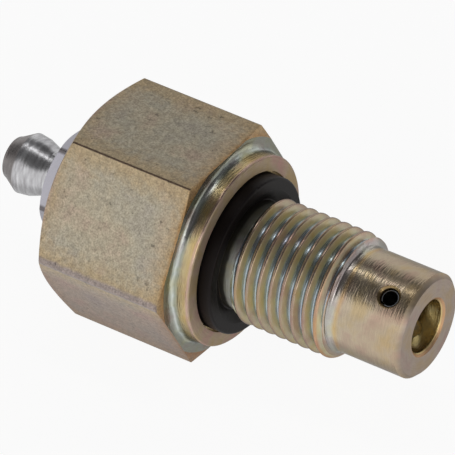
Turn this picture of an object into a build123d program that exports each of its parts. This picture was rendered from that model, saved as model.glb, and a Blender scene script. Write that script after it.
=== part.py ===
from build123d import *
import math
import os

# Screw-in non-return valve for grease, in millimetres.
# The valve's axis is X: the nose points to +X and the grease nipple to -X.
# X is 0 on the sealing face of the collar, and one flat of the hex faces down (-Z).

# Hex and collar of the body
hex_across_flats = 22.0
hex_length = 15.5
hex_back_chamfer_diameter = 20.9
hex_back_chamfer_angle = 30.0
hex_front_relief_diameter = 23.0
hex_front_relief_angle = 10.0
hex_corner_radius = 0.3
collar_diameter = 20.3
collar_length = 2.0
collar_root_radius = 0.75
collar_edge_break = 0.15

# Recess for the seal, and the neck behind the thread
recess_diameter = 17.2
recess_depth = 0.6
neck_diameter = 11.4

# Port thread, pipe thread G 1/4
thread_diameter = 13.157
thread_start = 2.6
thread_length = 10.4
thread_chamfer_angle = 30.0

# Nose
nose_diameter = 11.1
nose_end = 21.75
nose_chamfer = 0.45
nose_root_radius = 0.35
nose_bore_diameter = 5.65
nose_bore_mouth_chamfer = 0.33
nose_bore_depth = 14.5
seat_half_angle = 45.0

# Feed channel and the tapped hole for the nipple
feed_diameter = 3.2
nipple_thread_diameter = 10.0
nipple_thread_pitch = 1.0
thread_clearance = 0.05
tapped_hole_depth = 7.5
tapped_hole_mouth_chamfer = 0.45
drill_point_angle = 118.0

# Slotted spring pin and its cross hole
pin_diameter = 2.0
pin_length = 10.0
pin_wall = 0.25
pin_slot_width = 0.45
pin_end_chamfer = 0.12
pin_to_nose_end = 2.8
pin_tilt = 32.6
pin_slot_turn = 56.5
pin_fit_clearance = 0.01
cross_hole_countersink = 0.25

# Seal ring; the land and the lip are shares of its radial width
seal_side_clearance = 0.25
seal_land_share = 0.48
seal_lip_share = 0.06
seal_proud = 1.4
seal_lip_proud = 0.7
seal_corner_radius = 0.25
seal_grip_clearance = 0.05

# Check ball and its spring
ball_diameter = 4.76
ball_seat_gap = 0.03
check_wire_diameter = 0.5
check_coil_diameter = 4.0
check_coil_turns = 5.5
spring_end_gap = 0.05

# Grease nipple
nipple_shank_length = 6.0
nipple_shank_chamfer = 0.6
nipple_hex_across_flats = 11.0
nipple_hex_height = 3.6
nipple_hex_chamfer_diameter = 10.7
nipple_hex_chamfer_angle = 30.0
nipple_hex_corner_radius = 0.1
nipple_corner_tilt = 23.6
nipple_neck_diameter = 4.9
nipple_neck_length = 2.1
nipple_root_radius = 0.7
head_diameter = 6.5
head_tip_diameter = 4.6
head_tip_radius = 0.3
head_cone_length = 1.9
head_land_length = 1.2
head_back_diameter = 6.2
head_taper_length = 1.75

# Inside of the nipple
mouth_diameter = 1.6
mouth_lip_length = 0.3
mouth_cone_half_angle = 45.0
channel_diameter = 3.0
channel_depth = 12.0
outlet_diameter = 1.8
nipple_ball_diameter = 2.5
nipple_wire_diameter = 0.35
nipple_coil_diameter = 2.1
nipple_coil_turns = 6.5

# How far a cutting shape reaches past the surface that it cuts
past = 1.0

# Places along the axis that follow from the sizes above
hex_front = -collar_length
hex_back = hex_front - hex_length
thread_end = thread_start + thread_length
seat_rise = math.tan(math.radians(90 - seat_half_angle))
seat_start = nose_end - nose_bore_depth
seat_foot = seat_start - (nose_bore_diameter - feed_diameter) / 2 * seat_rise
pin_place = nose_end - pin_to_nose_end
nipple_hex_back = hex_back - nipple_hex_height
head_taper_end = nipple_hex_back - nipple_neck_length
head_land_end = head_taper_end - head_taper_length
head_cone_end = head_land_end - head_land_length
tip_face = head_cone_end - head_cone_length
shank_end = hex_back + nipple_shank_length


def turned(*path):
    """A solid of revolution about the valve's axis; x is along the axis and y the radius."""
    return revolve(make_face(list(path)), Axis.X)


def chamfer_run(depth, angle):
    """Axial length of a conical chamfer, its angle measured from the end face."""
    return depth * math.tan(math.radians(angle))


def hex_prism(across_flats, corner_radius, start, length, turn):
    """A hexagonal bar along X. With turn 0 a flat faces up, and turn tips that flat to the -Y side."""
    outline = RegularPolygon(across_flats / 2, 6, major_radius=False)
    outline = fillet(outline.vertices(), corner_radius)
    bar = extrude(outline, length)
    return Pos(start, 0, 0) * Rot(turn, 0, 0) * Rot(0, 90, 0) * Rot(0, 0, 30) * bar


def hex_blank():
    """The hex of the body with its turned corner chamfers."""
    corner = hex_across_flats / math.sqrt(3) + past
    back = hex_back_chamfer_diameter / 2
    front = hex_front_relief_diameter / 2
    envelope = turned(
        Polyline(
            (hex_back, 0),
            (hex_back, back),
            (hex_back + chamfer_run(corner - back, hex_back_chamfer_angle), corner),
            (hex_front - chamfer_run(corner - front, hex_front_relief_angle), corner),
            (hex_front, front),
            (hex_front, 0),
            close=True,
        )
    )
    return hex_prism(hex_across_flats, hex_corner_radius, hex_back, hex_length, 0) & envelope


def collar_and_shank():
    """Everything in front of the hex, as turned: collar, recess, neck, thread blank and nose."""
    collar = collar_diameter / 2
    root = min(collar_root_radius, 0.9 * (hex_across_flats - collar_diameter) / 2)
    neck = neck_diameter / 2
    thread = thread_diameter / 2
    nose = nose_diameter / 2
    inside_hex = hex_front - hex_length / 4
    # Fillet between the hex and the collar
    corner = root * (1 - math.sqrt(0.5))
    collar_arc = ThreePointArc(
        (hex_front, collar + root),
        (hex_front + corner, collar + corner),
        (hex_front + root, collar),
    )
    # Fillet between the thread's end chamfer and the nose
    nose_root = thread_end + chamfer_run(thread - nose, thread_chamfer_angle)
    slope = math.radians(90 - thread_chamfer_angle)
    half = slope / 2
    reach = min(nose_root_radius * math.tan(half), 0.9 * (nose_root - thread_end))
    root_radius = reach / math.tan(half)
    on_chamfer = (nose_root - reach * math.cos(slope), nose + reach * math.sin(slope))
    on_arc = (nose_root + reach - root_radius * math.sin(half), nose + root_radius * (1 - math.cos(half)))
    on_nose = (nose_root + reach, nose)
    nose_arc = ThreePointArc(on_chamfer, on_arc, on_nose)
    rear = Polyline(
        (hex_front + root, collar),
        (-collar_edge_break, collar),
        (0, collar - collar_edge_break),
        (0, recess_diameter / 2),
        (-recess_depth, recess_diameter / 2),
        (-recess_depth, neck),
        (thread_start - chamfer_run(thread - neck, thread_chamfer_angle), neck),
        (thread_start, thread),
        (thread_end, thread),
        on_chamfer,
    )
    front = Polyline(
        on_nose,
        (nose_end - nose_chamfer, nose),
        (nose_end, nose - nose_chamfer),
        (nose_end, 0),
        (inside_hex, 0),
        (inside_hex, collar + root),
        (hex_front, collar + root),
    )
    return turned(collar_arc, rear, nose_arc, front)


def body_passages():
    """Tapped hole, feed channel, ball seat and bore, from the back face to the nose."""
    hole = nipple_mean_radius() + thread_clearance
    feed = feed_diameter / 2
    bore = nose_bore_diameter / 2
    hole_end = hex_back + tapped_hole_depth
    drill_tip = hole_end + (hole - feed) / math.tan(math.radians(drill_point_angle / 2))
    return turned(
        Polyline(
            (hex_back - past, 0),
            (hex_back - past, hole + tapped_hole_mouth_chamfer + past),
            (hex_back + tapped_hole_mouth_chamfer, hole),
            (hole_end, hole),
            (drill_tip, feed),
            (seat_foot, feed),
            (seat_start, bore),
            (nose_end - nose_bore_mouth_chamfer, bore),
            (nose_end + past, bore + nose_bore_mouth_chamfer + past),
            (nose_end + past, 0),
            close=True,
        )
    )


def across_nose(shape):
    """Stands a shape made along Z on the cross hole's axis, tilted towards -Y."""
    return Pos(pin_place, 0, 0) * Rot(pin_tilt, 0, 0) * shape


def cross_hole():
    """Hole through both walls of the nose, countersunk at each end."""
    radius = pin_diameter / 2 + pin_fit_clearance
    surface = nose_diameter / 2
    hole = Cylinder(radius, nose_diameter + 2 * past)
    sink_height = cross_hole_countersink + past
    sink = Cone(radius, radius + sink_height, sink_height)
    sink_centre = surface - cross_hole_countersink + sink_height / 2
    top = Pos(0, 0, sink_centre) * sink
    bottom = Rot(180, 0, 0) * top
    return across_nose(hole + top + bottom)


def valve_body():
    return hex_blank() + collar_and_shank() - body_passages() - cross_hole()


def face_seal():
    """Profiled ring: a thick outer land and a thin lip that grips the neck."""
    inner = neck_diameter / 2 + seal_grip_clearance
    outer = recess_diameter / 2 - seal_side_clearance
    land = outer - seal_land_share * (outer - inner)
    lip = inner + seal_lip_share * (outer - inner)
    section = make_face(
        Polyline(
            (-recess_depth, inner),
            (-recess_depth, outer),
            (seal_proud, outer),
            (seal_proud, land),
            (seal_lip_proud, lip),
            (seal_lip_proud, inner),
            close=True,
        )
    )
    front_corners = section.vertices().filter_by_position(Axis.X, seal_proud - 0.01, seal_proud + 0.01)
    section = fillet(front_corners, seal_corner_radius)
    return revolve(section, Axis.X)


def retaining_pin():
    """Rolled spring pin: a slotted tube with chamfered ends."""
    outer = pin_diameter / 2
    half = pin_length / 2
    tube_section = make_face(
        Polyline(
            (outer - pin_wall, -half),
            (outer - pin_end_chamfer, -half),
            (outer, -half + 2 * pin_end_chamfer),
            (outer, half - 2 * pin_end_chamfer),
            (outer - pin_end_chamfer, half),
            (outer - pin_wall, half),
            close=True,
        )
    )
    tube = revolve(Plane.XZ * tube_section, Axis.Z)
    slot = Pos(-outer, 0, 0) * Box(pin_diameter, pin_slot_width, pin_length + past)
    return across_nose(Rot(0, 0, pin_slot_turn) * (tube - slot))


def ball_centre():
    """The ball touches the seat's cone; a small gap along the cone's normal keeps it free."""
    angle = math.radians(seat_half_angle)
    radius = ball_diameter / 2 + ball_seat_gap
    apex = seat_foot - feed_diameter / 2 / math.tan(angle)
    return apex + radius / math.sin(angle)


def check_ball():
    return Pos(ball_centre(), 0, 0) * Sphere(ball_diameter / 2)


def coil(start, end, coil_diameter, wire_diameter, turns):
    """Compression spring along X: start and end are the wire's centre at its two ends."""
    length = end - start
    path = Helix(pitch=length / turns, height=length, radius=coil_diameter / 2)
    wire = Plane(origin=path @ 0, z_dir=path % 0) * Circle(wire_diameter / 2)
    return Pos(start, 0, 0) * Rot(0, 90, 0) * sweep(wire, path=path, is_frenet=True)


def on_ball(ball, coil_diameter, wire_diameter):
    """How far from the ball's centre the wire of a coil rests on the ball."""
    reach = ball / 2 + wire_diameter / 2 + spring_end_gap
    return math.sqrt(reach**2 - (coil_diameter / 2) ** 2)


def check_spring():
    start = ball_centre() + on_ball(ball_diameter, check_coil_diameter, check_wire_diameter)
    end = pin_place - pin_diameter / 2 - check_wire_diameter / 2 - spring_end_gap
    return coil(start, end, check_coil_diameter, check_wire_diameter, check_coil_turns)


def nipple_mean_radius():
    """The nipple's thread is left plain at its mean diameter."""
    return (nipple_thread_diameter - 0.65 * nipple_thread_pitch) / 2


def nipple_hex():
    """Spanner hex of the nipple, with its corners turned off at the back."""
    corner = nipple_hex_across_flats / math.sqrt(3) + past
    chamfer_radius = nipple_hex_chamfer_diameter / 2
    envelope = turned(
        Polyline(
            (nipple_hex_back, 0),
            (nipple_hex_back, chamfer_radius),
            (nipple_hex_back + chamfer_run(corner - chamfer_radius, nipple_hex_chamfer_angle), corner),
            (hex_back, corner),
            (hex_back, 0),
            close=True,
        )
    )
    turn = nipple_corner_tilt - 30
    size = nipple_hex_across_flats
    return hex_prism(size, nipple_hex_corner_radius, nipple_hex_back, nipple_hex_height, turn) & envelope


def nipple_head():
    """Head that the coupler grips: tip, cone, land and back taper, on a waisted neck."""
    neck = nipple_neck_diameter / 2
    tip = head_tip_diameter / 2
    rim = tip - head_tip_radius
    tip_drop = head_tip_radius * (1 - math.sqrt(0.5))
    tip_arc = ThreePointArc(
        (tip_face, rim),
        (tip_face + tip_drop, tip - tip_drop),
        (tip_face + head_tip_radius, tip),
    )
    root_drop = nipple_root_radius * (1 - math.sqrt(0.5))
    root_arc = ThreePointArc(
        (nipple_hex_back - nipple_root_radius, neck),
        (nipple_hex_back - root_drop, neck + root_drop),
        (nipple_hex_back, neck + nipple_root_radius),
    )
    back = Polyline(
        (tip_face + head_tip_radius, tip),
        (head_cone_end, head_diameter / 2),
        (head_land_end, head_back_diameter / 2),
        (head_taper_end, neck),
        (nipple_hex_back - nipple_root_radius, neck),
    )
    inside_hex = nipple_hex_back + nipple_hex_height / 2
    closing = Polyline(
        (nipple_hex_back, neck + nipple_root_radius),
        (inside_hex, neck + nipple_root_radius),
        (inside_hex, 0),
        (tip_face, 0),
        (tip_face, rim),
    )
    return turned(tip_arc, back, root_arc, closing)


def nipple_shank():
    """Threaded shank, left plain at the thread's mean diameter."""
    shank = nipple_mean_radius()
    return turned(
        Polyline(
            (hex_back - nipple_hex_height / 2, 0),
            (hex_back - nipple_hex_height / 2, shank),
            (shank_end - nipple_shank_chamfer, shank),
            (shank_end, shank - nipple_shank_chamfer),
            (shank_end, 0),
            close=True,
        )
    )


def mouth_cone_start():
    return tip_face + mouth_lip_length


def nipple_passage():
    """Mouth, cone that seats the small ball, channel for its spring, and outlet."""
    mouth = mouth_diameter / 2
    channel = channel_diameter / 2
    cone_end = mouth_cone_start() + (channel - mouth) / math.tan(math.radians(mouth_cone_half_angle))
    return turned(
        Polyline(
            (tip_face - past, 0),
            (tip_face - past, mouth),
            (mouth_cone_start(), mouth),
            (cone_end, channel),
            (tip_face + channel_depth, channel),
            (tip_face + channel_depth, outlet_diameter / 2),
            (shank_end + past, outlet_diameter / 2),
            (shank_end + past, 0),
            close=True,
        )
    )


def nipple_body():
    return nipple_hex() + nipple_head() + nipple_shank() - nipple_passage()


def nipple_ball_centre():
    angle = math.radians(mouth_cone_half_angle)
    radius = nipple_ball_diameter / 2 + ball_seat_gap
    apex = mouth_cone_start() - mouth_diameter / 2 / math.tan(angle)
    return apex + radius / math.sin(angle)


def nipple_ball():
    return Pos(nipple_ball_centre(), 0, 0) * Sphere(nipple_ball_diameter / 2)


def nipple_spring():
    start = nipple_ball_centre() + on_ball(nipple_ball_diameter, nipple_coil_diameter, nipple_wire_diameter)
    end = tip_face + channel_depth - nipple_wire_diameter / 2 - spring_end_gap
    return coil(start, end, nipple_coil_diameter, nipple_wire_diameter, nipple_coil_turns)


pieces = {
    "valve_body": valve_body,
    "face_seal": face_seal,
    "retaining_pin": retaining_pin,
    "check_ball": check_ball,
    "check_spring": check_spring,
    "nipple_body": nipple_body,
    "nipple_ball": nipple_ball,
    "nipple_spring": nipple_spring,
}

os.makedirs("parts", exist_ok=True)
for name, make in pieces.items():
    export_step(make(), f"parts/{name}.step")
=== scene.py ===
import bpy
import bmesh
import math
from mathutils import Matrix, Vector


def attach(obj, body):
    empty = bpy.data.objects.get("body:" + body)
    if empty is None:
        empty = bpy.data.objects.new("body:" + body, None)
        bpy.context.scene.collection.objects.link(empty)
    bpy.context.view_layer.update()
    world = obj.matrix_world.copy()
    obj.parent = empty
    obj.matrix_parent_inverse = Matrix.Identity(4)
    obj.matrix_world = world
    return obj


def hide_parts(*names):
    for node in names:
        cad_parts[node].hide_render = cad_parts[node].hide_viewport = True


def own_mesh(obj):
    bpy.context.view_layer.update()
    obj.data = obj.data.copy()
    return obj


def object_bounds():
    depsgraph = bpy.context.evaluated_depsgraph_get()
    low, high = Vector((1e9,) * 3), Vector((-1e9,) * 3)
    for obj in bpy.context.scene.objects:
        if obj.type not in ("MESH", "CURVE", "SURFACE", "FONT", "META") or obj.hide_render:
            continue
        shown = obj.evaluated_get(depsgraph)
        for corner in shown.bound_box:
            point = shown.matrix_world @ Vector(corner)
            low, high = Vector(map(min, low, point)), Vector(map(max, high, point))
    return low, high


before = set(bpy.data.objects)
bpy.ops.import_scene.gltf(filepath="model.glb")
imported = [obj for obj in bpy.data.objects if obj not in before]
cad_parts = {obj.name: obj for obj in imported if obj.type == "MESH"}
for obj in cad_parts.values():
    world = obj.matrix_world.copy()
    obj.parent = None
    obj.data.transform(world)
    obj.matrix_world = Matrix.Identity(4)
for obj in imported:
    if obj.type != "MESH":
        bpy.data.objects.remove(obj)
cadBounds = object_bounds()
mm = 0.001
axisX = Vector((1, 0, 0))


def linear(hexColour):  # sRGB hex to the linear values that shaders use
    parts = [int(hexColour[i:i + 2], 16) / 255 for i in (1, 3, 5)]
    return [c / 12.92 if c <= 0.04045 else ((c + 0.055) / 1.055) ** 2.4 for c in parts] + [1.0]


def setInputs(tree, node, inputs):
    # An input takes a value, a socket or a node, whose first output is meant
    for socket, value in inputs.items():
        if isinstance(value, bpy.types.Node):
            value = next(output for output in value.outputs if output.enabled)
        if isinstance(value, bpy.types.NodeSocket):
            tree.links.new(value, node.inputs[socket])
        else:
            node.inputs[socket].default_value = value


def addNode(tree, kind, inputs=None, ranges=(), stops=(), span=(0, 1), **settings):
    # A node with its settings and links.
    # The ranges of a map are the two ends that it reads and, where given, the two that it turns them into.
    # The stops of a ramp are (place, hex colour), with places from the low to the high end of the span.
    node = tree.nodes.new(kind)
    for number, (place, hexColour) in enumerate(stops):
        elements = node.color_ramp.elements
        element = elements[number] if number < len(elements) else elements.new(1)
        element.position = (place - span[0]) / (span[1] - span[0])
        element.color = linear(hexColour)
    for name, value in settings.items():
        setattr(node, name, value)
    setInputs(tree, node, {**dict(enumerate(ranges, 1)), **(inputs or {})})
    return node


def newMaterial(name):
    material = bpy.data.materials.new(name)
    material.use_nodes = True
    tree = material.node_tree
    tree.nodes.clear()
    shader = addNode(tree, "ShaderNodeBsdfPrincipled")
    addNode(tree, "ShaderNodeOutputMaterial", {"Surface": shader})
    return material, tree, shader


def placeInMm(tree):
    # Object coordinates in mm, and from them x, the height, and the part across the valve's axis
    # with its length, the distance from that axis
    coords = addNode(tree, "ShaderNodeTexCoord").outputs["Object"]
    place = addNode(tree, "ShaderNodeVectorMath", {0: coords, "Scale": 1 / mm}, operation="SCALE")
    axes = addNode(tree, "ShaderNodeSeparateXYZ", {0: place}).outputs
    section = addNode(tree, "ShaderNodeVectorMath", {0: place, 1: (0, 1, 1)}, operation="MULTIPLY")
    radius = addNode(tree, "ShaderNodeVectorMath", {0: section}, operation="LENGTH").outputs["Value"]
    return {"place": place, "x": axes["X"], "height": axes["Z"], "section": section, "radius": radius}


def toolMarks(tree, at, perMm, drift):
    # Noise that runs fast across the tool marks, along the axis or a face, and slowly round the axis
    across = addNode(tree, "ShaderNodeMath", {0: at["x"], 1: at["radius"]}, operation="ADD")
    across = addNode(tree, "ShaderNodeMath", {0: across, 1: perMm}, operation="MULTIPLY")
    slow = addNode(tree, "ShaderNodeVectorMath", {0: at["section"], "Scale": drift}, operation="SCALE")
    fast = addNode(tree, "ShaderNodeCombineXYZ", {"X": across})
    place = addNode(tree, "ShaderNodeVectorMath", {0: slow, 1: fast}, operation="ADD")
    return addNode(tree, "ShaderNodeTexNoise", {"Vector": place, "Scale": 1.0, "Detail": 3.0})


# Camera, as fitted to the photograph's edges

cameraSettings = {
    "azimuth": 33.6,  # degrees
    "elevation": 38.16,
    "distance": 700 * mm,
    "pixelFocal": 7000,  # focal length in the photograph's pixels
    "framePixels": 455,
    "sensorWidth": 36,
    "clipEnd": 10,  # metres
    "aim": (-2.04 * mm, 0, 0),
    "aimPixel": (227.31, 244.65),
}


def makeCamera():
    s = cameraSettings
    a, e = math.radians(s["azimuth"]), math.radians(s["elevation"])
    right = Vector((math.cos(a), math.sin(a), 0))
    back = Vector((math.sin(a) * math.cos(e), -math.cos(a) * math.cos(e), math.sin(e)))
    up = back.cross(right)
    middle = s["framePixels"] / 2
    scale = s["distance"] / s["pixelFocal"]
    offset = right * ((s["aimPixel"][0] - middle) * scale) - up * ((s["aimPixel"][1] - middle) * scale)
    data = bpy.data.cameras.new("camera")
    data.sensor_width = s["sensorWidth"]
    data.lens = s["pixelFocal"] * data.sensor_width / s["framePixels"]
    data.clip_end = s["clipEnd"]
    camera = bpy.data.objects.new("camera", data)
    bpy.context.scene.collection.objects.link(camera)
    place = Matrix((right, up, back)).transposed().to_4x4()
    place.translation = Vector(s["aim"]) - offset + back * s["distance"]
    camera.matrix_world = place
    bpy.context.scene.camera = camera
    print("camera made")


# Plain studio: pale floor and white walls, under a dark ceiling with softboxes

studioSettings = {
    "floorSize": 4000 * mm,
    "floorColour": "#fafafa",
    "floorRoughness": 0.9,
    "floorSeenWhite": 0.93,  # share of the floor that the camera sees as plain white
    "floorInMetal": 0.62,  # the floor's glow under the valve, a painted shadow, as light on it and in its metal
    "floorFront": (-4 * mm, -12 * mm),  # over these it rises to plain white, towards the front
    "floorAhead": (20 * mm, 30 * mm),  # and ahead of the nose
    "hexShade": 3.5 * mm,  # so much further out beside the hex
    "hexShadeFrom": (2 * mm, -2 * mm),
    "wallBright": 1.0,
    "backWall": 0.85,  # the wall on the +Y side, against the front one
    "backWallFrom": (-0.1, 0.5),  # share of Y in the direction
    "ceilingDark": 0.08,
    "ceilingTowards": (0.25, -0.05, 0.97),
    "ceilingEdges": (0.44, 0.62),  # cosines of the angle from there, at the wall and at the ceiling
    "doorways": [
        # dark openings in the wall: direction, cosines at the edge and inside, share of darkness
        ((-1.0, 0.02, 0.10), (0.84, 0.96), 1.0),
        ((0.66, 0.75, 0.02), (0.80, 0.95), 0.45),
    ],
    "lamps": [
        # name, direction, distance and sides in mm, watts
        ("keySoftbox", (-0.45, -0.82, 0.36), 700, (360, 260), 0.05),
        ("noseSoftbox", (0.93, -0.34, 0.05), 600, (300, 300), 0.35),
        ("topSoftbox", (0.0, 0.12, 0.98), 600, (640, 260), 0.17),
        ("topStrip", (0.0, 0.10, 0.98), 590, (360, 70), 0.25),
    ],
}


def makeFloor():
    s = studioSettings
    bm = bmesh.new()
    bmesh.ops.create_grid(bm, x_segments=1, y_segments=1, size=s["floorSize"] / 2)
    bmesh.ops.translate(bm, verts=bm.verts, vec=(0, 0, cadBounds[0].z))
    mesh = bpy.data.meshes.new("floor")
    bm.to_mesh(mesh)
    bm.free()
    floor = bpy.data.objects.new("floor", mesh)
    bpy.context.scene.collection.objects.link(floor)
    material, tree, shader = newMaterial("paintedStudioFloor")
    setInputs(tree, shader, {"Base Color": linear(s["floorColour"]), "Roughness": s["floorRoughness"]})
    toCamera = addNode(tree, "ShaderNodeLightPath").outputs["Is Camera Ray"]
    coords = addNode(tree, "ShaderNodeTexCoord").outputs["Object"]
    place = addNode(tree, "ShaderNodeSeparateXYZ", {0: coords}).outputs
    # the floor glows for all rays but the camera's; its glow is a painted shadow, dimmer under and near
    # the valve
    besideHex = addNode(
        tree, "ShaderNodeMapRange", {0: place["X"], 4: s["hexShade"]}, ranges=s["hexShadeFrom"]
    )
    front = addNode(tree, "ShaderNodeMath", {0: place["Y"], 1: besideHex}, operation="ADD")
    front = addNode(
        tree, "ShaderNodeMapRange", {0: front, 3: s["floorInMetal"]}, ranges=s["floorFront"],
        interpolation_type="SMOOTHSTEP",
    )
    ahead = addNode(
        tree, "ShaderNodeMapRange", {0: place["X"], 3: s["floorInMetal"]}, ranges=s["floorAhead"],
        interpolation_type="SMOOTHSTEP",
    )
    glowWithPaintedShadow = addNode(tree, "ShaderNodeMath", {0: front, 1: ahead}, operation="MAXIMUM")
    share = addNode(tree, "ShaderNodeMapRange", {0: toCamera, 3: 1.0, 4: s["floorSeenWhite"]})
    bright = addNode(tree, "ShaderNodeMix", {0: toCamera, 2: glowWithPaintedShadow, 3: 1.0}, data_type="FLOAT")
    white = addNode(tree, "ShaderNodeEmission", {"Color": (1, 1, 1, 1), "Strength": bright})
    mixed = addNode(tree, "ShaderNodeMixShader", {0: share, 1: shader, 2: white})
    output = next(n for n in tree.nodes if n.type == "OUTPUT_MATERIAL")
    setInputs(tree, output, {"Surface": mixed})
    mesh.materials.append(material)


def makeLamps():
    for name, direction, distance, sides, watts in studioSettings["lamps"]:
        data = bpy.data.lights.new(name, "AREA")
        data.shape = "RECTANGLE"
        data.size, data.size_y = (side * mm for side in sides)
        data.energy = watts
        lamp = bpy.data.objects.new(name, data)
        bpy.context.scene.collection.objects.link(lamp)
        back = Vector(direction).normalized()
        across = (axisX - back * axisX.dot(back)).normalized()  # the long side lies along the valve
        place = Matrix((across, back.cross(across), back)).transposed().to_4x4()
        place.translation = back * distance * mm
        lamp.matrix_world = place


def makeWorld():
    s = studioSettings
    world = bpy.data.worlds.new("studioTent")
    bpy.context.scene.world = world
    world.use_nodes = True
    tree = world.node_tree
    tree.nodes.clear()
    direction = addNode(tree, "ShaderNodeTexCoord").outputs["Generated"]
    toBack = addNode(tree, "ShaderNodeSeparateXYZ", {0: direction}).outputs["Y"]
    wall = addNode(
        tree, "ShaderNodeMapRange", {0: toBack, 3: s["wallBright"], 4: s["backWall"]},
        ranges=s["backWallFrom"], interpolation_type="SMOOTHSTEP",
    )
    darkness = 0.0
    for towards, edges, share in [(s["ceilingTowards"], s["ceilingEdges"], 1.0), *s["doorways"]]:
        towards = Vector(towards).normalized()
        nearness = addNode(
            tree, "ShaderNodeVectorMath", {0: direction, 1: towards}, operation="DOT_PRODUCT"
        )
        dark = addNode(
            tree, "ShaderNodeMapRange", {0: nearness, 4: share}, ranges=edges,
            interpolation_type="SMOOTHSTEP",
        )
        darkness = addNode(tree, "ShaderNodeMath", {0: darkness, 1: dark}, operation="MAXIMUM")
    tone = addNode(tree, "ShaderNodeMix", {0: darkness, 2: wall, 3: s["ceilingDark"]}, data_type="FLOAT")
    background = addNode(tree, "ShaderNodeBackground", {"Color": (1, 1, 1, 1), "Strength": tone})
    addNode(tree, "ShaderNodeOutputWorld", {"Surface": background})
    bpy.context.scene.view_settings.view_transform = "Standard"


# Materials: a setting ...From is where a tone begins and where it is full, in mm, and a setting ...Shade
# is the range of a noise and the shades at its two ends

hexFinish = {
    "field": [(0.30, "#a69e90"), (0.44, "#aba391"), (0.56, "#afa48f"), (0.70, "#b09e8c")],
    "fieldNoise": {"Scale": 0.30, "Detail": 5.0},  # scales are per mm
    "wanderNoise": {"Scale": 1.3, "Detail": 4.0},  # makes the edges of the tones wavy
    "endTones": [
        (-17.5, "#ab9185"), (-16.6, "#ae9b7e"), (-14.5, "#afa18f"), (-4.5, "#afa08d"), (-2.4, "#b09978"),
        (-2.15, "#a58258"),
    ],
    "endSpan": (-17.5, -2.0),  # x of the hex's two ends
    "middleAt": -9.75,
    "endFrom": (4.5, 7.8),  # from the middle
    "endWander": 2.5,  # mm either way, as the next ones
    "edgeGold": "#b09a77",
    "edgeGoldFrom": (11.55, 12.35),  # from the axis, towards the corners
    "edgeGoldShare": 0.65,
    "edgeGoldWander": 0.6,
    "paintedUndersideShade": "#efe3ea",  # painted shade: a darker lilac tint on the flats that face down
    "paintedUndersideShadeFrom": (-0.6, -3.0),
    "cornerLilac": "#958a8a",
    "lilacFrom": (12.36, 12.52),
    "lilacShare": 0.8,
    "lilacWander": 0.12,
    "lilacHeight": (3.0, 5.0),  # only the corners at mid height have it, and it ends over these
    "cornerBrown": "#64524a",  # the others have this
    "brownFrom": (12.628, 12.65),
    "brownShare": 0.85,
    "grainNoise": {"Scale": 5.5, "Detail": 3.0},  # the drawn bar's grain of about 0.2 mm
    "grainShade": (0.3, 0.7, 0.7, 1.27),
    "mottleNoise": {"Scale": 1.8, "Detail": 5.0},
    "mottleShade": (0.35, 0.65, 0.88, 1.1),
    "pitNoise": {"Scale": 1.5, "Detail": 6.0},
    "pitShade": (0.64, 0.72, 1.0, 0.55),
    "bump": {"Distance": 0.03 * mm, "Strength": 0.8},
    "roughness": (0.32, 0.5),
    "metallic": 0.95,
}


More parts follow.
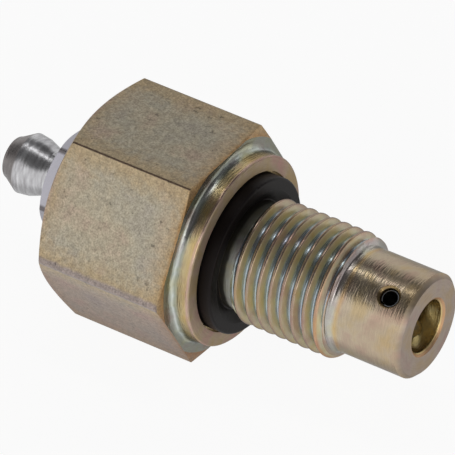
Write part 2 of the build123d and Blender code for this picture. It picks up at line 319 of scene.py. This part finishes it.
def yellowChromateHex():
    # Drawn hex bar, zinc plated and yellow chromated: satin and beige, golden near its edges and ends,
    # lilac or brown along the corners, with a fine grain and a few small pits
    s = hexFinish
    material, tree, shader = newMaterial("yellowChromateHex")
    at = placeInMm(tree)
    cloud, wander, grain, mottle, pits = [
        addNode(tree, "ShaderNodeTexNoise", {"Vector": at["place"], **s[noise]})
        for noise in ("fieldNoise", "wanderNoise", "grainNoise", "mottleNoise", "pitNoise")
    ]
    wavyEnd, wavyEdge, wavyCorner = [
        addNode(tree, "ShaderNodeMapRange", {0: wander, 3: -s[reach], 4: s[reach]})
        for reach in ("endWander", "edgeGoldWander", "lilacWander")
    ]
    field = addNode(tree, "ShaderNodeValToRGB", {0: cloud}, stops=s["field"])
    ends = addNode(tree, "ShaderNodeMapRange", {0: at["x"]}, ranges=s["endSpan"])
    endTone = addNode(tree, "ShaderNodeValToRGB", {0: ends}, stops=s["endTones"], span=s["endSpan"])
    middle = addNode(tree, "ShaderNodeMath", {0: at["x"], 1: -s["middleAt"]}, operation="ADD")
    middle = addNode(tree, "ShaderNodeMath", {0: middle}, operation="ABSOLUTE")
    nearEnd = addNode(tree, "ShaderNodeMath", {0: middle, 1: wavyEnd}, operation="ADD")
    nearEnd = addNode(tree, "ShaderNodeMapRange", {0: nearEnd}, ranges=s["endFrom"])
    base = addNode(tree, "ShaderNodeMix", {0: nearEnd, 6: field, 7: endTone}, data_type="RGBA")
    gold = addNode(tree, "ShaderNodeMath", {0: at["radius"], 1: wavyEdge}, operation="ADD")
    gold = addNode(tree, "ShaderNodeMapRange", {0: gold, 4: s["edgeGoldShare"]}, ranges=s["edgeGoldFrom"])
    base = addNode(tree, "ShaderNodeMix", {0: gold, 6: base, 7: linear(s["edgeGold"])}, data_type="RGBA")
    # painted shade: the flats that face down are tinted darker
    paintedShadeBelow = addNode(tree, "ShaderNodeMapRange", {0: at["height"]}, ranges=s["paintedUndersideShadeFrom"])
    base = addNode(
        tree, "ShaderNodeMix", {0: paintedShadeBelow, 6: base, 7: linear(s["paintedUndersideShade"])}, data_type="RGBA",
        blend_type="MULTIPLY",
    )
    height = addNode(tree, "ShaderNodeMath", {0: at["height"]}, operation="ABSOLUTE")
    atMidHeight = addNode(tree, "ShaderNodeMapRange", {0: height, 3: 1.0, 4: 0.0}, ranges=s["lilacHeight"])
    elsewhere = addNode(tree, "ShaderNodeMath", {0: 1.0, 1: atMidHeight}, operation="SUBTRACT")
    lilac = addNode(tree, "ShaderNodeMath", {0: at["radius"], 1: wavyCorner}, operation="ADD")
    lilac = addNode(tree, "ShaderNodeMapRange", {0: lilac, 4: s["lilacShare"]}, ranges=s["lilacFrom"])
    brown = addNode(
        tree, "ShaderNodeMapRange", {0: at["radius"], 4: s["brownShare"]}, ranges=s["brownFrom"]
    )
    for share, where, colour in ((lilac, atMidHeight, "cornerLilac"), (brown, elsewhere, "cornerBrown")):
        share = addNode(tree, "ShaderNodeMath", {0: share, 1: where}, operation="MULTIPLY")
        base = addNode(tree, "ShaderNodeMix", {0: share, 6: base, 7: linear(s[colour])}, data_type="RGBA")
    shade = addNode(tree, "ShaderNodeMapRange", {0: grain}, ranges=s["grainShade"])
    mottle = addNode(tree, "ShaderNodeMapRange", {0: mottle}, ranges=s["mottleShade"])
    pits = addNode(tree, "ShaderNodeMapRange", {0: pits}, ranges=s["pitShade"])
    for other in (mottle, pits):
        shade = addNode(tree, "ShaderNodeMath", {0: shade, 1: other}, operation="MULTIPLY")
    colour = addNode(tree, "ShaderNodeVectorMath", {0: base, "Scale": shade}, operation="SCALE")
    smooth, dull = s["roughness"]
    rough = addNode(tree, "ShaderNodeMapRange", {0: grain, 3: smooth, 4: dull})
    relief = addNode(tree, "ShaderNodeMath", {0: grain, 1: pits}, operation="ADD")
    bump = addNode(tree, "ShaderNodeBump", {"Height": relief, **s["bump"]})
    setInputs(tree, shader, {
        "Base Color": colour, "Roughness": rough, "Normal": bump, "Metallic": s["metallic"],
    })
    return material


pinAxis = {"at": (18.95, 0, 0), "along": (0, -0.539, 0.842)}  # of the cross hole and its pin, in mm


def fromPinAxis(tree, at):  # distance in mm
    off = addNode(tree, "ShaderNodeVectorMath", {0: at["place"], 1: pinAxis["at"]}, operation="SUBTRACT")
    off = addNode(tree, "ShaderNodeVectorMath", {0: off, 1: pinAxis["along"]}, operation="CROSS_PRODUCT")
    return addNode(tree, "ShaderNodeVectorMath", {0: off}, operation="LENGTH").outputs["Value"]


turnedFinish = {
    "marksPerMm": 6.5,  # turning feed of about 0.15 mm
    "marksDrift": 0.9,
    "marksShade": (0.3, 0.7, 0.93, 1.06),
    "bump": {"Distance": 0.045 * mm, "Strength": 0.9},
    # x in mm and the colour of the film there, from the hex's front chamfer to the end of the nose, with a
    # painted highlight on the collar's fillet and painted light on the neck
    "alongAxis": [
        # the pale band on the collar's fillet, from -1.77 to -1.67 mm, is a painted highlight
        (-2.9, "#aa9c84"), (-2.3, "#9c8260"), (-2.05, "#9c9a8f"), (-1.86, "#969b90"), (-1.77, "#c6ccc6"),
        (-1.67, "#c6ccc6"), (-1.58, "#9aa095"), (-1.4, "#a2a492"), (-1.15, "#b6a985"), (-0.45, "#bea97c"),
        # on the neck: the dark band beside the seal, 0.8 to 1.25 mm, is painted shade; the pale grey from
        # 1.5 to 2.2 mm is the neck's dull plating, brightened further as painted light
        (-0.15, "#c0a498"), (0.0, "#b3a28a"), (0.4, "#b3a28a"), (0.8, "#5c5952"), (1.25, "#5c5952"),
        (1.5, "#c6c6bc"), (2.2, "#e2e2da"), (12.9, "#bf9f80"), (13.1, "#b8a797"), (13.35, "#b0ada8"),
        (13.85, "#c0beb0"), (14.25, "#c4ac80"), (14.7, "#b7a993"), (21.3, "#b6a48b"), (21.7, "#9d8f83"),
    ],
    "axisSpan": (-3.0, 22.0),
    "filmNoise": {"Scale": 0.4, "Detail": 4.0},  # scale per mm
    "filmShift": 0.35,  # mm either way along the axis
    "filmTints": [(0.35, "#f6eaf0"), (0.5, "#ffffff"), (0.65, "#fff8e4")],
    "tintSpan": (0.35, 0.65),
    # distance from the axis in mm and colour, from the thread's roots to its crests
    "threadFilm": [
        (5.7, "#a9b6c0"), (5.84, "#b2bbbb"), (6.0, "#c7c3a6"), (6.3, "#c8bca0"), (6.47, "#bfb095"),
        (6.54, "#a4907f"),
    ],
    "threadFilmSpan": (5.6, 6.6),
    "threadSpan": (2.2, 13.0),
    "lastCrest": "#c99d78",
    "lastCrestFrom": (12.2, 12.7),
    "lastCrestShare": 0.7,
    "lastCrestRadius": (6.3, 6.45),
    "neckPaintedShade": "#4a4740",  # painted shade, darker on the upper side of the neck
    "neckPaintedShadeFrom": (3.4, 5.0),
    "neckPaintedShadeShare": 0.8,
    "neckRadius": 7.0,
    "neckSpan": (-0.1, 2.4),  # with the sealing face
    "mouth": "#c09a78",  # countersink of the bore
    "mouthRadius": (3.1, 3.2),
    "faceFrom": 21.25,
    "crossHoleFilm": "#94815a",
    "crossHoleRim": (1.18, 1.3),
    "inside": "#c4b07c",
    "insideRadius": (2.84, 3.0),
    "insideMetal": 0.96,
    "insideRoughness": 0.24,
    "roughness": 0.2,
    "neckRoughness": 0.6,
    "endRoughness": 0.4,
    "threadRoughness": (0.16, 0.35, 0.2),  # in the roots, on the flanks and on the crests
    "flankFrom": (5.8, 6.0),
    "crestFrom": (6.46, 6.52),
    "metallic": 0.92,
    "threadMetal": 0.85,
    "edgeTint": "#d0d0d0",
}


def yellowChromateTurned():
    # Turned steel, zinc plated and yellow chromated: tool marks round the axis, and a thin film whose
    # colour changes from blue-grey in the roots to olive, gold and pink on the edges
    s = turnedFinish
    material, tree, shader = newMaterial("yellowChromateTurned")
    at = placeInMm(tree)
    x, radius = at["x"], at["radius"]
    marks = toolMarks(tree, at, s["marksPerMm"], s["marksDrift"])
    cloud = addNode(tree, "ShaderNodeTexNoise", {"Vector": at["place"], **s["filmNoise"]})
    onThread, onNeck = [
        addNode(
            tree, "ShaderNodeMath", {0: x, 1: (start + end) / 2, 2: (end - start) / 2}, operation="COMPARE"
        )
        for start, end in (s["threadSpan"], s["neckSpan"])
    ]
    onFace = addNode(tree, "ShaderNodeMath", {0: x, 1: s["faceFrom"]}, operation="GREATER_THAN")
    nearMouth, nearHole, inside = [
        addNode(tree, "ShaderNodeMapRange", {0: distance, 3: 1.0, 4: 0.0}, ranges=s[limits])
        for distance, limits in (
            (radius, "mouthRadius"), (fromPinAxis(tree, at), "crossHoleRim"), (radius, "insideRadius"),
        )
    ]

    # the film along the axis, and on the thread from root to crest
    shift = addNode(tree, "ShaderNodeMapRange", {0: cloud, 3: -s["filmShift"], 4: s["filmShift"]})
    along = addNode(tree, "ShaderNodeMath", {0: x, 1: shift}, operation="ADD")
    along = addNode(tree, "ShaderNodeMapRange", {0: along}, ranges=s["axisSpan"])
    base = addNode(tree, "ShaderNodeValToRGB", {0: along}, stops=s["alongAxis"], span=s["axisSpan"])
    film = addNode(tree, "ShaderNodeMapRange", {0: radius}, ranges=s["threadFilmSpan"])
    film = addNode(tree, "ShaderNodeValToRGB", {0: film}, stops=s["threadFilm"], span=s["threadFilmSpan"])
    last = addNode(tree, "ShaderNodeMapRange", {0: x, 4: s["lastCrestShare"]}, ranges=s["lastCrestFrom"])
    high = addNode(tree, "ShaderNodeMapRange", {0: radius}, ranges=s["lastCrestRadius"])
    last = addNode(tree, "ShaderNodeMath", {0: last, 1: high}, operation="MULTIPLY")
    film = addNode(tree, "ShaderNodeMix", {0: last, 6: film, 7: linear(s["lastCrest"])}, data_type="RGBA")
    base = addNode(tree, "ShaderNodeMix", {0: onThread, 6: base, 7: film}, data_type="RGBA")

    # painted shade on the neck, edges and holes over it
    # painted shade: the neck's upper side is darkened
    paintedNeckShade = addNode(
        tree, "ShaderNodeMapRange", {0: at["height"], 4: s["neckPaintedShadeShare"]}, ranges=s["neckPaintedShadeFrom"]
    )
    inNeck = addNode(tree, "ShaderNodeMath", {0: radius, 1: s["neckRadius"]}, operation="LESS_THAN")
    for limit in (onNeck, inNeck):
        paintedNeckShade = addNode(tree, "ShaderNodeMath", {0: paintedNeckShade, 1: limit}, operation="MULTIPLY")
    mouth = addNode(tree, "ShaderNodeMath", {0: nearMouth, 1: onFace}, operation="MULTIPLY")
    for share, colour in (
        (paintedNeckShade, "neckPaintedShade"), (mouth, "mouth"), (nearHole, "crossHoleFilm"), (inside, "inside"),
    ):
        base = addNode(tree, "ShaderNodeMix", {0: share, 6: base, 7: linear(s[colour])}, data_type="RGBA")
    tint = addNode(tree, "ShaderNodeMapRange", {0: cloud}, ranges=s["tintSpan"])
    tint = addNode(tree, "ShaderNodeValToRGB", {0: tint}, stops=s["filmTints"], span=s["tintSpan"])
    base = addNode(
        tree, "ShaderNodeMix", {0: 1.0, 6: base, 7: tint}, data_type="RGBA", blend_type="MULTIPLY"
    )
    shade = addNode(tree, "ShaderNodeMapRange", {0: marks}, ranges=s["marksShade"])
    colour = addNode(tree, "ShaderNodeVectorMath", {0: base, "Scale": shade}, operation="SCALE")

    # shine: dull in the neck and on the end face, and the thread's own from root to crest
    rough = addNode(tree, "ShaderNodeMapRange", {0: onNeck, 3: s["roughness"], 4: s["neckRoughness"]})
    inRoot, onFlank, onCrest = s["threadRoughness"]
    flank = addNode(tree, "ShaderNodeMapRange", {0: radius, 3: inRoot, 4: onFlank}, ranges=s["flankFrom"])
    crest = addNode(tree, "ShaderNodeMapRange", {0: radius, 4: onCrest - onFlank}, ranges=s["crestFrom"])
    threadRough = addNode(tree, "ShaderNodeMath", {0: flank, 1: crest}, operation="ADD")
    for where, value in (
        (onFace, s["endRoughness"]), (onThread, threadRough), (inside, s["insideRoughness"]),
    ):
        rough = addNode(tree, "ShaderNodeMix", {0: where, 2: rough, 3: value}, data_type="FLOAT")
    metal = addNode(tree, "ShaderNodeMapRange", {0: onThread, 3: s["metallic"], 4: s["threadMetal"]})
    metal = addNode(tree, "ShaderNodeMix", {0: inside, 2: metal, 3: s["insideMetal"]}, data_type="FLOAT")
    bump = addNode(tree, "ShaderNodeBump", {"Height": marks, **s["bump"]})
    setInputs(tree, shader, {
        "Base Color": colour, "Roughness": rough, "Metallic": metal, "Normal": bump,
        "Specular Tint": linear(s["edgeTint"]),
    })
    return material


nippleFinish = {
    "marksPerMm": 4.0,
    "marksDrift": 0.5,
    "tones": [(0.3, "#a09ea0"), (0.7, "#d4d4d6")],  # in the marks
    "bump": {"Distance": 0.06 * mm, "Strength": 0.7},
    # the tip's darker tone is a painted reflection of the dark surroundings
    "tip": "#7a726f",
    "tipFrom": (-26.0, -26.25),
    "tipShare": 0.85,
    "hexSpan": (-21.1, -17.5),
    "hexTone": "#b5b3bb",
    "hexCorner": "#6f6a6c",
    "hexCornerFrom": (6.12, 6.24),
    "hexRelief": 0.5,  # level, without marks
    "roughness": 0.27,
    "hexRoughness": 0.34,
    "metallic": 0.88,
}


def brightZinc():
    # Turned steel with bright zinc: neutral and shiny, with fine tool marks; the tip is darker, a painted
    # reflection of the dark surroundings, and the drawn hex is plain
    s = nippleFinish
    material, tree, shader = newMaterial("brightZinc")
    at = placeInMm(tree)
    marks = toolMarks(tree, at, s["marksPerMm"], s["marksDrift"])
    base = addNode(tree, "ShaderNodeValToRGB", {0: marks}, stops=s["tones"])
    # painted reflection: the tip is darkened
    tip = addNode(tree, "ShaderNodeMapRange", {0: at["x"], 4: s["tipShare"]}, ranges=s["tipFrom"])
    base = addNode(tree, "ShaderNodeMix", {0: tip, 6: base, 7: linear(s["tip"])}, data_type="RGBA")
    start, end = s["hexSpan"]
    onHex = addNode(
        tree, "ShaderNodeMath", {0: at["x"], 1: (start + end) / 2, 2: (end - start) / 2},
        operation="COMPARE",
    )
    corner = addNode(tree, "ShaderNodeMapRange", {0: at["radius"]}, ranges=s["hexCornerFrom"])
    hexTone = addNode(
        tree, "ShaderNodeMix", {0: corner, 6: linear(s["hexTone"]), 7: linear(s["hexCorner"])},
        data_type="RGBA",
    )
    base = addNode(tree, "ShaderNodeMix", {0: onHex, 6: base, 7: hexTone}, data_type="RGBA")
    rough = addNode(tree, "ShaderNodeMapRange", {0: onHex, 3: s["roughness"], 4: s["hexRoughness"]})
    relief = addNode(tree, "ShaderNodeMix", {0: onHex, 2: marks, 3: s["hexRelief"]}, data_type="FLOAT")
    bump = addNode(tree, "ShaderNodeBump", {"Height": relief, **s["bump"]})
    setInputs(tree, shader, {
        "Base Color": base, "Roughness": rough, "Normal": bump, "Metallic": s["metallic"],
    })
    return material


sealFinish = {
    # distance from the axis in mm and colour: lighter beside the neck, near black further out
    "tones": [(5.8, "#201e1e"), (6.6, "#0c0a0b"), (7.1, "#050405"), (8.6, "#080506")],
    "toneSpan": (5.7, 8.7),
    "skinNoise": {"Scale": 3.0, "Detail": 3.0},  # scale per mm
    "dustShade": (0.3, 0.7, 0.6, 1.4),
    "bump": {"Distance": 0.02 * mm, "Strength": 0.5},
    "roughness": 0.45,
    "ior": 1.27,
    "specularTint": "#fff0ea",
}


def nitrileRubber():
    # Moulded nitrile rubber: brownish black, softly shining, with a faint mould texture
    s = sealFinish
    material, tree, shader = newMaterial("nitrileRubber")
    at = placeInMm(tree)
    skin = addNode(tree, "ShaderNodeTexNoise", {"Vector": at["place"], **s["skinNoise"]})
    out = addNode(tree, "ShaderNodeMapRange", {0: at["radius"]}, ranges=s["toneSpan"])
    tone = addNode(tree, "ShaderNodeValToRGB", {0: out}, stops=s["tones"], span=s["toneSpan"])
    dust = addNode(tree, "ShaderNodeMapRange", {0: skin}, ranges=s["dustShade"])
    colour = addNode(tree, "ShaderNodeVectorMath", {0: tone, "Scale": dust}, operation="SCALE")
    bump = addNode(tree, "ShaderNodeBump", {"Height": skin, **s["bump"]})
    setInputs(tree, shader, {
        "Base Color": colour, "Normal": bump, "Roughness": s["roughness"], "IOR": s["ior"],
        "Specular Tint": linear(s["specularTint"]),
    })
    return material


pinFinish = {
    "outside": "#d2d5dc",
    # painted shade: the tube's deep inside is near black
    "inside": "#141313",
    "wall": (0.78, 0.86),  # mm from the pin's axis
    "roughness": (0.6, 0.22),  # inside and outside
}


def rolledSteel():
    # Rolled spring steel, bright outside, and inside the tube painted near black as painted shade
    s = pinFinish
    material, tree, shader = newMaterial("rolledPinSteel")
    out = fromPinAxis(tree, placeInMm(tree))
    bright = addNode(tree, "ShaderNodeMapRange", {0: out}, ranges=s["wall"])
    colour = addNode(
        tree, "ShaderNodeMix", {0: bright, 6: linear(s["inside"]), 7: linear(s["outside"])},
        data_type="RGBA",
    )
    roughInside, roughOutside = s["roughness"]
    rough = addNode(tree, "ShaderNodeMapRange", {0: bright, 3: roughInside, 4: roughOutside})
    setInputs(tree, shader, {"Base Color": colour, "Roughness": rough, "Metallic": 1.0})
    return material


steelFinish = {
    "drawnSpringSteel": ("#b9bcc4", 0.25),  # colour and roughness
    "groundBallSteel": ("#c8c8cc", 0.1),
    "filmNoise": {"Scale": 1.5, "Detail": 2.0},  # scale per mm
    "filmShares": (0.7, 1.3),  # of the roughness
}


def polishedSteel(name):
    # Hardened steel, ground or drawn: neutral and bright
    s = steelFinish
    colour, roughness = s[name]
    material, tree, shader = newMaterial(name)
    film = addNode(tree, "ShaderNodeTexNoise", {"Vector": placeInMm(tree)["place"], **s["filmNoise"]})
    least, most = s["filmShares"]
    rough = addNode(tree, "ShaderNodeMapRange", {0: film, 3: roughness * least, 4: roughness * most})
    setInputs(tree, shader, {"Base Color": linear(colour), "Roughness": rough, "Metallic": 1.0})
    return material


# Meshes

meshSettings = {
    "mergeWithin": 0.001 * mm,
    "cutWithin": 0.0001 * mm,
    "sharpAngle": 30,  # degrees
    "flatCosine": 0.99999,  # between a flat face and the direction of a hex flat or an end
}


def mergedCopy(node):  # the CAD node's mesh with its doubles merged
    bm = bmesh.new()
    bm.from_mesh(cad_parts[node].data)
    bmesh.ops.remove_doubles(bm, verts=bm.verts, dist=meshSettings["mergeWithin"])
    return bm


def setShading(bm):
    # Smooth faces, with hard edges where the shape has them and round every flat
    sharpBend = math.radians(meshSettings["sharpAngle"])
    flatNormals = [axisX, -axisX]
    for turn in (math.radians(60 * k) for k in range(6)):
        flatNormals.append(Vector((0, math.sin(turn), math.cos(turn))))
    bm.normal_update()

    def isFlat(face):
        return any(face.normal.dot(n) > meshSettings["flatCosine"] for n in flatNormals)

    for face in bm.faces:
        face.smooth = True
    for edge in bm.edges:
        if len(edge.link_faces) != 2:
            continue
        one, two = edge.link_faces
        edge.smooth = one.normal.angle(two.normal, 0) <= sharpBend and isFlat(one) == isFlat(two)


def addPiece(name, bm, body, replaced):
    mesh = bpy.data.meshes.new(name)
    bm.to_mesh(mesh)
    bm.free()
    piece = bpy.data.objects.new(name, mesh)
    bpy.context.scene.collection.objects.link(piece)
    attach(piece, body)
    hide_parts(replaced)
    return piece


# Body: the hex, collar and nose as made, with the port thread cut in

threadSettings = {
    "major": 6.5785 * mm,
    "pitch": 1.337 * mm,
    "halfAngle": 27.5,  # Whitworth form, as the next two
    "depthInPitches": 0.640327,
    "roundingInPitches": 0.137329,
    "arcSteps": 8,
    "flankSteps": 5,
    "flankLeast": (0.05 * mm, 0.1 * mm),  # a stretch longer and deeper than this is a flank
    "turnSteps": 96,
    "weldWithin": 0.002 * mm,
    "crestAt": 12.17 * mm,  # place along the axis of a crest, on the side away from the floor
    "spareTurns": (2, 3),  # before and after the thread, cut off again
    "neckRadius": 5.7 * mm,
    "cutInNeck": 1.0 * mm,
    "start": 2.6 * mm,
    "end": 13.0 * mm,
    "endAngle": 30,  # chamfers at both ends, from the end face
    "shoulder": 13.4928 * mm,  # here the end chamfer meets the fillet of the nose
    "neckJoin": 0.2 * mm,  # lengths of the bands that join the thread to the body
    "shoulderJoin": 0.03 * mm,
}


def threadProfile():
    # One line of crests and roots along the axis, rounded as the Whitworth form is
    s = threadSettings
    pitch = s["pitch"]
    depth = s["depthInPitches"] * pitch
    rounding = s["roundingInPitches"] * pitch
    middle = s["major"] - depth / 2
    tangent = math.radians(90 - s["halfAngle"])
    before, after = s["spareTurns"]
    before += math.ceil((s["shoulder"] - s["cutInNeck"]) / pitch)
    corners = []
    for turn in range(-before, after + 1):
        crest = s["crestAt"] + turn * pitch
        for side, place in ((1, crest), (-1, crest + pitch / 2)):
            centre = middle + side * (depth / 2 - rounding)
            for step in range(s["arcSteps"] + 1):
                angle = tangent * (2 * step / s["arcSteps"] - 1)
                out = side * rounding * math.cos(angle)
                corners.append((place + rounding * math.sin(angle), centre + out))
    points = [corners[0]]
    longer, deeper = s["flankLeast"]
    for (x0, r0), (x1, r1) in zip(corners, corners[1:]):
        parts = s["flankSteps"] if x1 - x0 > longer and abs(r1 - r0) > deeper else 1
        points += [(x0 + (x1 - x0) * k / parts, r0 + (r1 - r0) * k / parts) for k in range(1, parts + 1)]
    return points


def threadMesh():
    s = threadSettings
    bm = bmesh.new()
    line = [bm.verts.new((x, 0, r)) for x, r in threadProfile()]
    edges = [bm.edges.new(pair) for pair in zip(line, line[1:])]
    steps = s["turnSteps"]
    bmesh.ops.spin(
        bm, geom=line + edges, cent=(0, 0, 0), axis=axisX, dvec=axisX * (s["pitch"] / steps),
        angle=2 * math.pi, steps=steps, use_merge=False,
    )
    bmesh.ops.remove_doubles(bm, verts=bm.verts, dist=s["weldWithin"])
    slope = 1 / math.tan(math.radians(s["endAngle"]))
    for v in bm.verts:
        r = math.hypot(v.co.y, v.co.z)
        lead = s["major"] - max(0, s["start"] - v.co.x) * slope
        chamfer = s["major"] - max(0, v.co.x - s["end"]) * slope
        new = max(min(r, lead, chamfer), s["neckRadius"])
        v.co.y *= new / r
        v.co.z *= new / r
    first, last = s["cutInNeck"] + s["neckJoin"], s["shoulder"] - s["shoulderJoin"]
    for place, normal in ((first, -axisX), (last, axisX)):
        everything = bm.verts[:] + bm.edges[:] + bm.faces[:]
        bmesh.ops.bisect_plane(
            bm, geom=everything, dist=meshSettings["cutWithin"], plane_co=axisX * place, plane_no=normal,
            clear_outer=True,
        )
    return bm


bodySettings = {
    "outsideBeyond": 4 * mm,  # distances from the axis beyond which these faces lie
    "blankBeyond": 5 * mm,
    "hexBeyond": 9 * mm,
    "hexFront": -2.0 * mm,
}


def makeBody():
    s, t = bodySettings, threadSettings
    near = meshSettings["mergeWithin"]
    bm = mergedCopy("valve_body")

    def allBeyond(face, distance):
        return all(math.hypot(v.co.y, v.co.z) > distance for v in face.verts)

    # the blank's faces go, from the cut in the neck to the nose's shoulder
    outside = [f for f in bm.faces if allBeyond(f, s["outsideBeyond"])]
    parts = dict.fromkeys(part for f in outside for part in (f, *f.edges, *f.verts))  # keeps their order
    bmesh.ops.bisect_plane(
        bm, geom=list(parts), dist=meshSettings["cutWithin"], plane_co=axisX * t["cutInNeck"],
        plane_no=axisX,
    )
    low, high = t["cutInNeck"] - near, t["shoulder"] + near
    blank = [
        f for f in bm.faces
        if allBeyond(f, s["blankBeyond"]) and all(low < v.co.x < high for v in f.verts)
    ]
    bmesh.ops.delete(bm, geom=blank, context="FACES")

    # the thread takes their place, with a narrow band at each end
    thread = threadMesh()
    threadData = bpy.data.meshes.new("threadOnly")
    thread.to_mesh(threadData)
    thread.free()
    bm.from_mesh(threadData)
    bpy.data.meshes.remove(threadData)
    for start, length in (
        (t["cutInNeck"], t["neckJoin"]), (t["shoulder"] - t["shoulderJoin"], t["shoulderJoin"]),
    ):
        low, high = start - t["weldWithin"], start + length + t["weldWithin"]
        rims = [e for e in bm.edges if e.is_boundary and all(low < v.co.x < high for v in e.verts)]
        bmesh.ops.bridge_loops(bm, edges=rims)
    bmesh.ops.recalc_face_normals(bm, faces=bm.faces)
    setShading(bm)
    for f in bm.faces:
        middle = f.calc_center_median()
        onHex = middle.x < s["hexFront"] - near and math.hypot(middle.y, middle.z) > s["hexBeyond"]
        f.material_index = 0 if onHex else 1
    piece = addPiece("dressedValveBody", bm, "housing", "valve_body")
    piece.data.materials.append(yellowChromateHex())
    piece.data.materials.append(yellowChromateTurned())
    print("body made")


def dressedCopy(name, node, body, material):
    bm = mergedCopy(node)
    setShading(bm)
    piece = addPiece(name, bm, body, node)
    piece.data.materials.append(material)
    return piece


springSettings = [
    # name, CAD node, joint, the end that stays put, the ball's travel
    ("dressedCheckSpring", "check_spring", "check_ball_slide", 17.9 * mm, 1.5 * mm),
    ("dressedNippleSpring", "nipple_spring", "nipple_ball_slide", -16.1 * mm, 1.2 * mm),
]


def makeFittings():
    dressedCopy("dressedFaceSeal", "face_seal", "housing", nitrileRubber())
    dressedCopy("dressedNipple", "nipple_body", "housing", brightZinc())
    dressedCopy("dressedPin", "retaining_pin", "housing", rolledSteel())
    springSteel = polishedSteel("drawnSpringSteel")
    for name, node, joint, fixedEnd, travel in springSettings:
        spring = dressedCopy(name, node, "housing", springSteel)
        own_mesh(spring)
    ballSteel = polishedSteel("groundBallSteel")
    dressedCopy("dressedCheckBall", "check_ball", "check_ball", ballSteel)
    dressedCopy("dressedNippleBall", "nipple_ball", "nipple_ball", ballSteel)
    print("fittings made")


makeCamera()
makeFloor()
makeLamps()
makeWorld()
print("studio made")
makeBody()
makeFittings()
